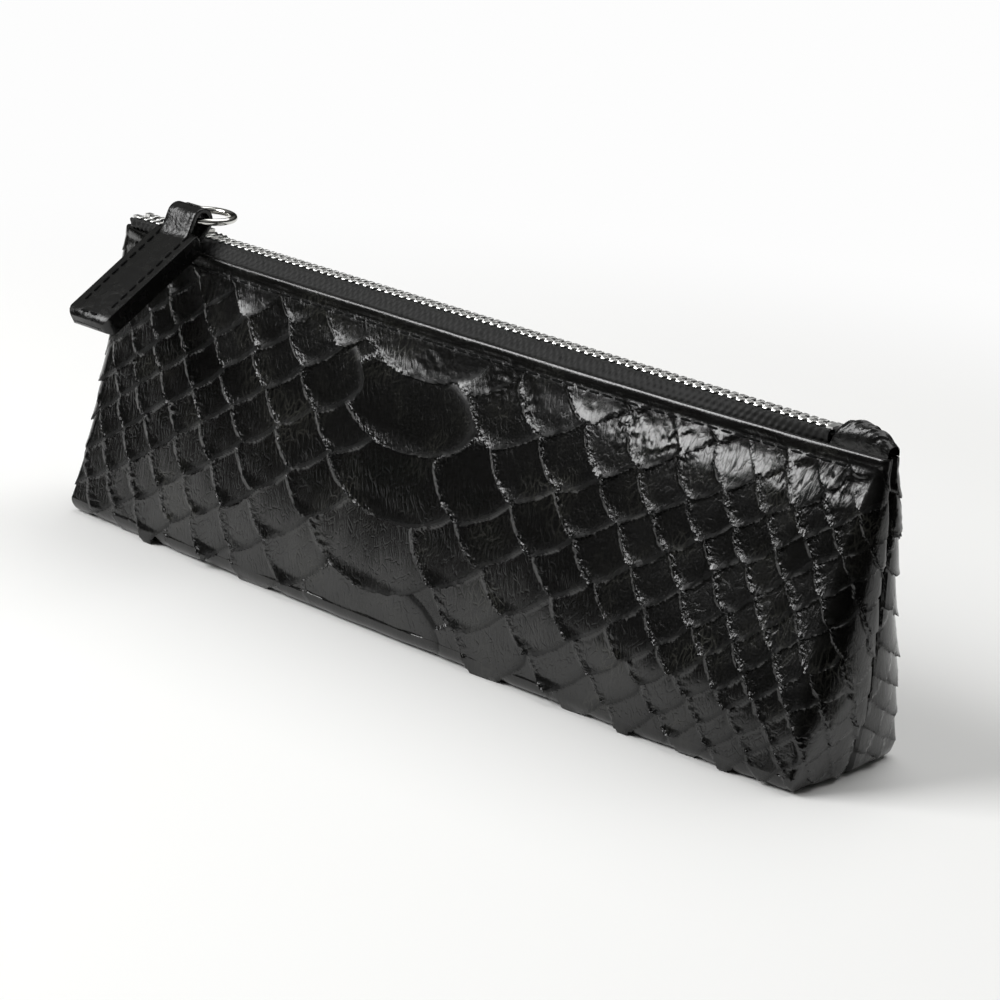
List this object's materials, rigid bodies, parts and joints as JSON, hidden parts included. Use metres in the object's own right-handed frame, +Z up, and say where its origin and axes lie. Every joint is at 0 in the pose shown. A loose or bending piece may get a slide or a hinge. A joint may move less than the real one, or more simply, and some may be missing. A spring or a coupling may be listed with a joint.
{
  "type": "zipped fountain pen case",
  "caption": "Slim leather pen pouch with a flat boxed base and a narrow zipped mouth; a folded leather pull hangs on a wire ring from the slider.",
  "frame": {"origin": "middle of the flat base, on the surface that it stands on", "axes": "+X along the zip towards its leather end tab, -Y the front, where the pull hangs, +Z up"},
  "size_m": [0.2112, 0.0537, 0.0743],
  "materials": {
    "skin": "glazed black scaled skin",
    "board": "bonded leather board",
    "lining": "woven lining",
    "tape": "woven zip tape",
    "teeth": "bright stamped metal",
    "slider_metal": "plated casting",
    "ring_wire": "plated wire",
    "trim_leather": "smooth glazed leather",
    "thread": "waxed twisted thread"
  },
  "bodies": {
    "case": {"front_panel": "skin", "back_panel": "skin", "front_backing": "board", "back_backing": "board", "front_lining": "lining", "back_lining": "lining", "front_zip_tape": "tape", "back_zip_tape": "tape", "front_zip_teeth": "teeth", "back_zip_teeth": "teeth", "front_top_stop": "teeth", "back_top_stop": "teeth", "bottom_stop": "teeth", "zip_end_tab": "trim_leather", "front_edge_stitching": "thread", "back_edge_stitching": "thread"},
    "slider": {"slider_body": "slider_metal", "slider_crown": "slider_metal"},
    "ring": {"pull_ring": "ring_wire"},
    "pull": {"pull_strap": "trim_leather", "pull_core": "board", "pull_stitching": "thread"}
  },
  "joints": [
    {"name": "slider_slide", "type": "slide", "parent": "case", "child": "slider", "axis": [1, 0, 0], "range_m": [-0.0109, 0.1706], "deforming": ["front_zip_tape", "back_zip_tape", "front_zip_teeth", "back_zip_teeth"]},
    {"name": "ring_tilt", "type": "hinge", "parent": "slider", "child": "ring", "pos_m": [-0.08715, 0, 0.07122], "axis": [0, -1, 0], "range_deg": [0, 90]},
    {"name": "pull_swing", "type": "hinge", "parent": "ring", "child": "pull", "pos_m": [-0.08105, -0.00505, 0.07122], "axis": [-1, 0, 0], "range_deg": [0, 120]}
  ]
}
